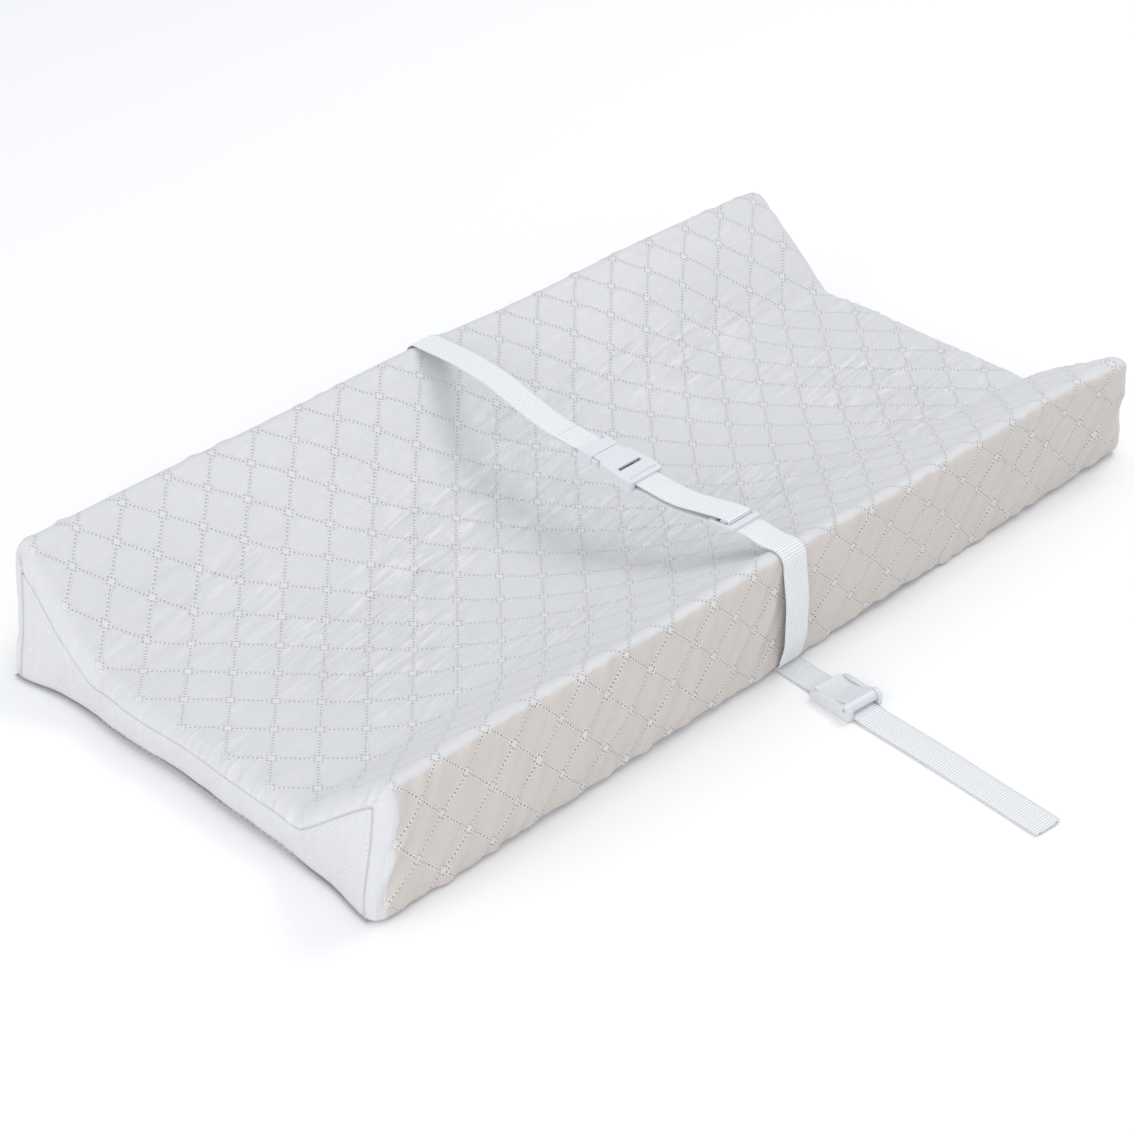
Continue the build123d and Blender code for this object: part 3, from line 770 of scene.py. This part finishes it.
def cover_grid(step, skin):
    """Points of the cover's top, drawn in by skin, and each one's place on the cloth.

    x_cloth is its place along the pad, t_cloth its place across the plain pad, and lattice_t the
    same over the bowl, which the quilting's lattice follows."""
    outer = profile_parts(0)
    counts = path_counts(outer, step)
    plain = path_points(outer, counts)
    t = lengths_along(plain)
    t = t - t[-1] / 2
    bowl = plain + np.column_stack([np.zeros(len(plain)), bowl_rise(plain[:, 0])])
    bowl_t = lengths_along(bowl)
    bowl_t = bowl_t - np.interp(0, t, bowl_t)
    flat_end = half_length - end_roll
    flat = np.linspace(-flat_end, flat_end, round(2 * flat_end / step))
    turns = np.linspace(0, pi / 2, roll_steps)[1:]
    stations = [(-flat_end - a * end_roll, a) for a in turns[::-1]]
    stations += [(x, 0.0) for x in flat]
    stations += [(flat_end + a * end_roll, a) for a in turns]
    rows = []
    for x_cloth, turn in stations:
        drawn_in = skin + end_roll * (1 - cos(turn))
        section = path_points(profile_parts(drawn_in), counts)
        rolled = np.sign(x_cloth) * (end_roll - skin) * sin(turn)
        x = np.clip(x_cloth, -flat_end, flat_end) + rolled
        rows.append(np.column_stack([np.full(len(section), x), section]))
    x_cloth = np.array([s[0] for s in stations])[:, None] + 0 * t[None, :]
    lattice_t = t + stretched(x_cloth) * (bowl_t - t)
    return np.array(rows), x_cloth, t + 0 * x_cloth, lattice_t


top_points, x_cloth, t_cloth, lattice_t = cover_grid(surface_step, skin=cloth_skin)
on_long_side = smoothstep(np.abs(top_points[..., 1]), half_width - 4.5 * mm, half_width - 2.0 * mm)
top_points = shaped(top_points)
top_normals = normals_of(top_points)
up_slope = smoothstep(np.abs(t_cloth), 0.112, 0.15)
ridge_t = np.abs(t_cloth).max() - hem_width - ridge_height

# The valley is gathered across, so its creases run along the pad; the long sides are gathered along
valley_patches = np.clip(0.55 + 0.5 * ripples(x_cloth, t_cloth, 0.09, seed=11), 0.1, 1)
valley_creases = (1 - up_slope) * valley_patches
corner_creases = hill(x_cloth, -0.31, 0.14) * hill(t_cloth, 0.10, 0.08)
lengthwise = np.maximum(valley_creases, corner_creases) + 0.12 * up_slope
lengthwise = np.clip(lengthwise, 0, 1) * (1 - on_long_side)
crosswise = on_long_side * np.clip(0.8 + 0.4 * ripples(x_cloth, t_cloth, 0.08, seed=14), 0.3, 1)
height, p_dots, q_dots = quilt_height(x_cloth, lattice_t, lengthwise, crosswise)

# Quilting is flatter on the slopes, ridges and hem, and flat under the strap and at the seams
from_seam = half_length - end_roll + end_roll * pi / 2 - np.abs(x_cloth)
under_strap = hill(x_cloth, strap_x, 0.03) * on_long_side
on_ridge = hill(np.abs(t_cloth), ridge_t, 0.03)
quilting = 0.30 - 0.12 * up_slope * (1 - on_long_side) + 0.18 * on_long_side - 0.3 * under_strap
quilting = quilting * (1 - 0.6 * on_ridge)
from_hem = np.abs(t_cloth).max() - hem_width - np.abs(t_cloth)
quilting = quilting * np.clip(from_hem / 0.03, 0.2, 1)
quilting = quilting * np.clip(from_seam / 0.025, 0, 1)

# Creases along the valley, gathers at the end seams, and pulled folds at the ridges' ends
along_crease = x_cloth * cos(crease_turn) + t_cloth * sin(crease_turn)
across_crease = t_cloth * cos(crease_turn) - x_cloth * sin(crease_turn)
valley_folds = 0.38 * (0.15 + valley_creases) * folds(along_crease, across_crease, 0.0055, 6, seed=29)
gathers = 0.45 * np.exp(-from_seam / 0.014) * folds(x_cloth, t_cloth, 0.007, 4, seed=31)
ridge_end = np.exp(-from_seam / 0.028) * hill(np.abs(t_cloth), ridge_t, 0.05)
gathers += 0.7 * ridge_end * folds(x_cloth, t_cloth, 0.010, 3, seed=33)
long_folds = 0.5 * corner_creases * folds(x_cloth + t_cloth, t_cloth, 0.008, 8, seed=35)
leaning_x = x_cloth + 0.5 * np.abs(t_cloth)
side_folds = 0.8 * (on_long_side - under_strap) * folds(t_cloth, leaning_x, 0.010, 4, seed=37)
creases = (valley_folds + gathers + long_folds + side_folds) * mm
creases = creases * np.clip(from_seam / 0.004, 0, 1)
top_points = top_points + top_normals * (height * quilting + creases)[..., None]
top_points[..., 0] -= np.sign(x_cloth) * seam_depth * np.exp(-from_seam / seam_width)
top_points[..., 2] = np.maximum(top_points[..., 2], lowest)

# What the cloth's material reads at each point
off_seam = smoothstep(from_seam, 0.012, 0.024)
quilt_places = np.stack([p_dots, q_dots, on_long_side * off_seam], axis=-1)
pressed = 0.15 + 0.85 * off_seam
creased = 0.15 + 0.85 * np.maximum(valley_creases, on_long_side)
quilt_finish = np.stack([pressed, creased, np.exp(-(from_seam / seam_shade_width) ** 2)], axis=-1)

cover_top = new_piece(
    "cover_quilted_top", top_points, grid_faces(*top_points.shape[:2]), quilt, "quilt",
    quilt=quilt_places, finish=quilt_finish,
)
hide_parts("cover_top")


panel_shift_y = 0.011
panel_shift_z = 0.012


def end_panel(side, name, node):
    """Quilted end panel, from the pad's lower edge up to its seam with the rolled top.

    side is -1 for the left end and 1 for the right one."""
    counts = path_counts(profile_parts(0), surface_step)
    seam = path_points(profile_parts(cloth_skin + end_roll), counts)
    reach = half_width - cloth_skin - end_roll
    upper = seam[(np.abs(seam[:, 0]) < reach - 0.01 * mm) & (seam[:, 1] > 10 * mm)]
    y_line = np.linspace(-reach, reach, round(2 * reach / surface_step))
    top_line = np.interp(y_line, upper[:, 0], upper[:, 1])
    share = np.linspace(0, 1, round(ridge_height / surface_step))
    y, up = np.meshgrid(y_line, share, indexing="ij")
    z = hem_z + up * (top_line[:, None] - hem_z)
    x = np.full(y.shape, side * (half_length - cloth_skin))
    points = shaped(np.stack([x, y, z], axis=-1))
    to_edge = np.minimum(reach - np.abs(y), top_line[:, None] - z)
    height, p, q = quilt_height(y + panel_shift_y, z + panel_shift_z, 0.15 + 0 * y, 0.25 + 0 * y)
    in_ridge = smoothstep(z, 0.035, 0.07)
    pulled = folds(y * side + z, y, 0.015, 3, seed=41 + side) * (0.25 + 0.75 * in_ridge)
    quilted = 0.25 * height * np.clip(to_edge / 0.02, 0, 1)
    pulled = 0.35 * mm * pulled * np.clip(to_edge / 0.008, 0, 1)
    sunk = seam_depth * np.exp(-to_edge / seam_width)
    points[..., 0] += side * (quilted + pulled - sunk)
    faces = grid_faces(*y.shape)
    if side < 0:
        faces = [face[::-1] for face in faces]
    pressed, creased = np.full(p.shape, 0.35), np.full(p.shape, 0.25)
    finish = np.stack([pressed, creased, np.exp(-(to_edge / seam_shade_width) ** 2)], axis=-1)
    places = np.stack([p, q, 0 * p], axis=-1)
    panel = new_piece(name, points, faces, quilt, "quilt", quilt=places, finish=finish)
    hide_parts(node)
    return panel


end_left = end_panel(-1, "cover_quilted_end_left", "cover_end_left")
end_right = end_panel(1, "cover_quilted_end_right", "cover_end_right")


def underside():
    """Plain bottom panel, pressed up over the straps' sewn ends."""
    step = 5 * mm
    # The panel reaches just past the ends, so its dark grey edge stands in for the shade under the raised
    # lower edge
    reach_x = half_length + 0.5 * mm
    reach_y = half_width - hem_width
    x, y = np.meshgrid(
        np.linspace(-reach_x, reach_x, round(2 * reach_x / step)),
        np.linspace(-reach_y, reach_y, round(2 * reach_y / step)),
        indexing="ij",
    )
    z = 1.0 * mm + 0.35 * mm * ripples(x, y, 0.06, seed=51)
    points = shaped(np.stack([x, y, z], axis=-1))
    points[..., 2] = np.maximum(points[..., 2], lowest)
    faces = [face[::-1] for face in grid_faces(*x.shape)]
    panel = new_piece("cover_underside", points, faces, backing, "backing")
    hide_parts("cover_bottom")
    return panel


def foam_block():
    """The foam inside the cover."""
    skin = 7 * mm
    parts = profile_parts(skin)
    top = path_points(parts, path_counts(parts, 8 * mm))
    top = top[top[:, 1] > skin]
    count = len(top)
    under = np.column_stack([np.linspace(top[-1, 0], top[0, 0], count), np.full(count, skin)])
    section = np.concatenate([top, under])
    ring_count = 90
    stations = np.linspace(skin - half_length, half_length - skin, ring_count)
    rings = [np.column_stack([np.full(2 * count, x), section]) for x in stations]
    points = shaped(np.array(rings))
    points[..., 2] += 0.2 * mm * ripples(points[..., 0], points[..., 1], 0.03, seed=55)
    faces = grid_faces(ring_count, 2 * count, wrap=True)
    last_ring = 2 * count * (ring_count - 1)
    for k in range(count - 1):
        cap = [k, k + 1, 2 * count - 2 - k, 2 * count - 1 - k]
        faces += [cap[::-1], [last_ring + corner for corner in cap]]
    block = new_piece("foam_block", points, faces, foam, "foam")
    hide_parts("foam_core")
    return block


bottom = underside()
foam_piece = foam_block()
for piece in (cover_top, end_left, end_right, bottom, foam_piece):
    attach(piece, "pad")


# ---------------------------------------------------------------- webbing

rib_step = rib_pitch / 5


def ribbon(name, line, along_start=0.0, cut_end=False):
    """Webbing along a line of points: ribbed faces, rounded edges and closed ends.

    The ribs carry on from along_start, and cut_end rounds the corners of the last end."""
    along = lengths_along(line)
    tangent = np.gradient(line, axis=0)
    tangent /= np.linalg.norm(tangent, axis=1, keepdims=True)
    # The width direction is level: X, less its share along the strap
    level = np.array((1.0, 0, 0)) - tangent * tangent[:, :1]
    level /= np.linalg.norm(level, axis=1, keepdims=True)
    out = np.cross(tangent, level)
    # How far each point is across the webbing, and its thickness there
    count = 13
    share = np.linspace(-1, 1, count)
    edge = np.sqrt(np.clip(1 - np.abs(share) ** 14, 0, 1))
    edge[[0, -1]] = 0.35
    half = webbing_width / 2 * np.ones(len(line))
    if cut_end:
        left = np.clip(along[-1] - along, 0, cut_corner)
        half -= cut_corner - np.sqrt(cut_corner ** 2 - (cut_corner - left) ** 2)
    wave = np.cos((along + along_start) * 2 * pi / rib_pitch)
    half *= 1 + 0.004 * wave
    rib = 1 + 0.13 * wave
    rings, places = [], []
    for side in (1, -1):
        offset = share[::side]
        thick = side * edge[::side] * webbing_thickness / 2
        rings.append(
            line[:, None] + level[:, None] * (half[:, None] * offset)[..., None]
            + out[:, None] * (rib[:, None] * thick)[..., None]
        )
        places.append(np.stack([
            np.repeat(along[:, None] + along_start, count, axis=1),
            np.repeat(offset[None, :] * webbing_width / 2, len(line), axis=0),
            np.full((len(line), count), float(side)),
        ], axis=-1))
    points = np.concatenate(rings, axis=1)
    size = points.shape[1]
    faces = grid_faces(len(line), size, wrap=True)
    faces += [list(range(size))[::-1], list(range(size * (len(line) - 1), size * len(line)))]
    return new_piece(name, points, faces, webbing, "webbing", weave=np.concatenate(places, axis=1))


def in_frame(origin, angle, along, out):
    """(y, z) of a point that lies along and out of a line through origin, tilted by angle degrees."""
    turn = radians(angle)
    return (
        origin[0] + (along * cos(turn) - out * sin(turn)) * mm,
        origin[1] + (along * sin(turn) + out * cos(turn)) * mm,
    )


def in_buckle(along, out):
    """(y, z) of a point in the buckle, in mm from its near end."""
    return in_frame((-57 * mm, 99 * mm), 4, along, out)


def in_slider(along, out):
    """(y, z) of a point in the slide adjuster, in mm from its middle."""
    return in_frame((-144.72 * mm, 105.1 * mm), -7, along, out)


def strap_route(corners, radii_mm):
    """Even points of a strap's route in the upright plane of the safety strap."""
    parts = rounded_path(corners, [r * mm for r in radii_mm])
    flat = path_points(parts, path_counts(parts, rib_step))
    return np.column_stack([np.full(len(flat), strap_x), flat])


side_strap_y = half_width + 1 * mm
under_strap_z = 2.7 * mm
sewn_end_y = half_width - 52 * mm
far_crest = (side_strap_y, 109.0 * mm)
near_crest = (-side_strap_y, 110.06 * mm)

far_corners = [(sewn_end_y, under_strap_z), (side_strap_y, under_strap_z), far_crest]
far_corners += [in_buckle(63, 1.1), in_buckle(50.7, 1.1), in_buckle(50.7, -3.5), in_buckle(60, -3.5)]
far_corners += [in_buckle(69, -1.0), in_buckle(88, -1.8)]
far_line = strap_route(far_corners, [7, 10, 60, 2.25, 2.25, 6, 6])

rise_middle = in_slider(-5.4, 0.8)
near_first = [(-sewn_end_y, under_strap_z), (-side_strap_y, under_strap_z), near_crest]
near_first += [in_slider(-5.4, -2.3), rise_middle]
near_first_line = strap_route(near_first, [7, 10, 1.6])

low_upper = (-94 * mm, 98.82 * mm)
low_lower = (-94 * mm, 94.42 * mm)
near_rest = [rise_middle, in_slider(-5.4, 3.85), in_slider(6, 3.85), low_upper]
near_rest += [in_buckle(-2, 1.1), in_buckle(11.3, 1.1), in_buckle(11.3, -3.5), in_buckle(-2, -3.5)]
near_rest += [low_lower, in_slider(10, -2.2), in_slider(-2.5, -2.2), in_slider(-2.5, 2.2)]
near_rest += [in_slider(2.5, 2.2), in_slider(2.5, -0.4)]
near_rest_line = strap_route(near_rest, [1.6, 30, 90, 30, 2.25, 2.25, 30, 90, 20, 1.3, 1.3, 1.2])


def relaxed(line):
    """The strap's line as it lies in use, with its moves in mm.

    It bows up before the far ridge, stands off the long sides and turns aside over the far ridge."""
    x, y, z = line.T
    on_top = smoothstep(z, 0.06, 0.10)
    bow = 11.0 * smoothstep(y, 0.03, 0.12) - 4.0 * smoothstep(y, 0.14, 0.20)
    z = z + (bow - 4.0 * smoothstep(-y, 0.162, 0.185)) * on_top * mm
    stand_off = 4.6 * smoothstep(z, 0.004, 0.03) * (1 - smoothstep(z, 0.055, 0.10))
    on_side = smoothstep(np.abs(y), 0.195, 0.203)
    y = y + np.sign(y) * stand_off * on_side * mm
    x = x + 7.0 * smoothstep(y, 0.03, 0.20) * on_top * mm
    return np.column_stack([x, y, z])


far_strap = ribbon("safety_strap_far_webbing", relaxed(far_line))
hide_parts("safety_strap_far")
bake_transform(far_strap)

near_strap = ribbon("safety_strap_near_webbing", relaxed(near_first_line))
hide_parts("safety_strap_near")
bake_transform(near_strap)

near_loop = ribbon(
    "safety_strap_near_loop", relaxed(near_rest_line), along_start=lengths_along(near_first_line)[-1]
)
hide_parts("safety_strap_near")
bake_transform(near_loop)


# ---------------------------------------------------------------- anchor strap, a free flat cord

anchor_exit = (-7 * mm, -half_width, 1 * mm)
anchor_sewn_mm = 50
anchor_turn = radians(-4.5)
anchor_direction = (sin(anchor_turn), -cos(anchor_turn))


def anchor_place(along_mm, z_mm, aside_mm=0.0):
    """Point of the anchor strap's route, moved sideways by aside_mm."""
    dx, dy = anchor_direction
    return (
        anchor_exit[0] + (along_mm * dx - aside_mm * dy) * mm,
        anchor_exit[1] + (along_mm * dy + aside_mm * dx) * mm,
        z_mm * mm,
    )


anchor_route = [
    anchor_place(0, 1.0), anchor_place(29, 1.0), anchor_place(37, 2.85), anchor_place(79, 2.85),
    anchor_place(90, 1.4), anchor_place(135, 2.0, 1.2), anchor_place(190, 1.2, 1.5),
    anchor_place(250, 2.0, 1.0),
]


def smooth_line(route, step):
    """Points about a step apart on the smooth curve that has the route's points as control points."""
    curve = bpy.data.curves.new("route", "CURVE")
    curve.dimensions = "3D"
    curve.resolution_u = 40
    spline = curve.splines.new("NURBS")
    spline.points.add(len(route) - 1)
    for point, place in zip(spline.points, route):
        point.co = (*place, 1)
    spline.order_u = 3
    spline.use_endpoint_u = True
    holder = bpy.data.objects.new("route", curve)
    mesh = bpy.data.meshes.new_from_object(holder)
    line = np.array([v.co[:] for v in mesh.vertices])
    bpy.data.meshes.remove(mesh)
    bpy.data.curves.remove(curve)
    along = lengths_along(line)
    even = np.linspace(0, along[-1], round(along[-1] / step))
    return np.column_stack([np.interp(even, along, line[:, k]) for k in range(3)])


anchor_line = smooth_line(anchor_route, rib_step)
anchor = ribbon("anchor_strap_webbing", anchor_line, along_start=anchor_sewn_mm * mm, cut_end=True)
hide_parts("anchor_strap")
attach(anchor, "pad")
sewn_line = smooth_line([anchor_place(-anchor_sewn_mm, 1.0), anchor_place(0, 1.0)], rib_step)
anchor_sewn = ribbon("anchor_strap_sewn_end", sewn_line)
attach(anchor_sewn, "pad")


# ---------------------------------------------------------------- CAD nodes that stay

node_materials = {
    plastic: [
        "buckle_female", "buckle_male", "prong_left", "prong_right", "slider", "cam_frame", "cam_lever",
    ],
    steel: ["cam_pin"],
    thread: ["far_loop_stitching", "near_box_stitching", "far_box_stitching"],
    backing: ["strap_patch_near", "strap_patch_far"],
}
for material, names in node_materials.items():
    for name in names:
        for material_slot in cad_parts[name].material_slots:
            material_slot.material = material


# ---------------------------------------------------------------- floor

floor_reach = 14.0
floor_lines = np.linspace(-floor_reach, floor_reach, 21)
floor_x, floor_y = np.meshgrid(floor_lines, floor_lines, indexing="ij")
floor_points = np.stack([floor_x, floor_y, 0 * floor_x], axis=-1)
floor_mesh = bpy.data.meshes.new("floor")
floor_mesh.from_pydata(floor_points.reshape(-1, 3).tolist(), [], grid_faces(*floor_x.shape))
floor_mesh.materials.append(floor_material("pale_floor"))
floor = bpy.data.objects.new("floor", floor_mesh)
bpy.context.scene.collection.objects.link(floor)
